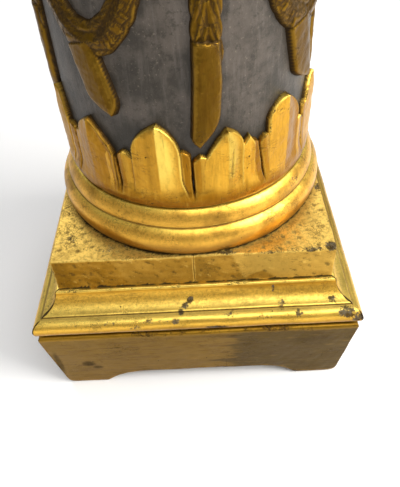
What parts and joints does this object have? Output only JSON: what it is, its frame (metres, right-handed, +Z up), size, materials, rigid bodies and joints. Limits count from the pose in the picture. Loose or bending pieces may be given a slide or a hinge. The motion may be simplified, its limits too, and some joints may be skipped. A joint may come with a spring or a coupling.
{
  "type": "altar candlestick",
  "caption": "Carved and gilded column candlestick on a square bracket-footed plinth, with a round shaft, leafy capital, vase, dish, lift-off drip pan and iron pricket.",
  "frame": {"origin": "centre of the square that the four bracket feet stand on, at floor level", "axes": "+Z up along the column, -Y towards the front of the plinth, +X towards its right side"},
  "size_m": [0.303, 0.303, 1.11],
  "materials": {
    "gilt_plinth": "aged water gilding on red bole, toned down and rubbed",
    "gilt_moulding": "aged water gilding on red bole, rubbed at the edges",
    "gilt_carving": "burnished water gilding on red bole with dirt in the recesses",
    "dark_ground": "dark slate paint with a soft sheen",
    "bare_softwood": "old unpainted softwood",
    "forged_iron": "forged, dark",
    "pan_brass": "spun, tarnished"
  },
  "bodies": {
    "candlestick": {"plinth_board_front": "gilt_plinth", "plinth_board_right": "gilt_plinth", "plinth_board_back": "gilt_plinth", "plinth_board_left": "gilt_plinth", "corner_glue_blocks": "bare_softwood", "moulding_front": "gilt_moulding", "moulding_right": "gilt_moulding", "moulding_back": "gilt_moulding", "moulding_left": "gilt_moulding", "moulding_nails": "forged_iron", "deck_board": "bare_softwood", "block_board_left": "gilt_moulding", "block_board_right": "gilt_moulding", "block_dowels": "bare_softwood", "base_ring": "gilt_moulding", "shaft_lower_plug": "bare_softwood", "shaft_half_front": "dark_ground", "shaft_half_back": "dark_ground", "shaft_upper_plug": "bare_softwood", "acanthus_collar": "gilt_carving", "upper_leaf_collar": "gilt_carving", "bow_1": "gilt_carving", "bow_2": "gilt_carving", "bow_3": "gilt_carving", "bow_4": "gilt_carving", "leaf_drop_1": "gilt_carving", "leaf_drop_2": "gilt_carving", "leaf_drop_3": "gilt_carving", "leaf_drop_4": "gilt_carving", "laurel_swag_1": "gilt_carving", "laurel_swag_2": "gilt_carving", "laurel_swag_3": "gilt_carving", "laurel_swag_4": "gilt_carving", "neck_ring": "gilt_moulding", "capital_bell": "gilt_carving", "capital_leaves": "gilt_carving", "abacus": "gilt_moulding", "vase_foot": "gilt_moulding", "vase_body": "gilt_carving", "vase_leaves": "gilt_carving", "drip_dish": "gilt_moulding", "tie_rod": "forged_iron", "rod_collar": "forged_iron", "rod_washer": "forged_iron", "rod_nut": "forged_iron"},
    "drip_pan": {"drip_pan": "pan_brass"}
  },
  "joints": [
    {"name": "drip_pan_lift", "type": "slide", "parent": "candlestick", "child": "drip_pan", "axis": [0, 0, 1], "range_m": [0, 0.15]}
  ]
}
